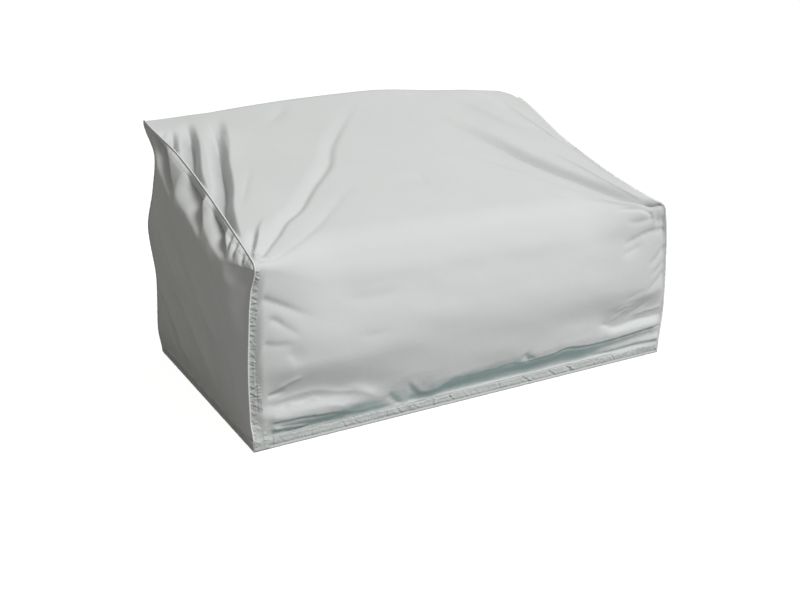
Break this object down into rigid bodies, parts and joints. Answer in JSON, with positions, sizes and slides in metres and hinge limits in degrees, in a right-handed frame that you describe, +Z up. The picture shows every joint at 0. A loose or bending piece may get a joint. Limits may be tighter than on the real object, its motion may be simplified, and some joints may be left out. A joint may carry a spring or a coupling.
{
  "type": "outdoor sofa cover",
  "caption": "Fitted cloth cover for an outdoor loveseat, hanging hollow: low front, sloping top, high back, end panels seamed along the arms.",
  "frame": {"origin": "the point under the cover's top, halfway across, where its ridge lies on the back rest of the sofa that it hangs from", "axes": "+X across the width towards the right end as seen from the front, +Y towards the back, +Z up"},
  "size_m": [1.4101, 0.8353, 0.788],
  "materials": {
    "cover_cloth": "pale grey coated polyester, plain weave, matt with a faint sheen"
  },
  "bodies": {
    "root": {"body_panel": "cover_cloth", "side_panel_left": "cover_cloth", "side_panel_right": "cover_cloth"}
  },
  "joints": []
}
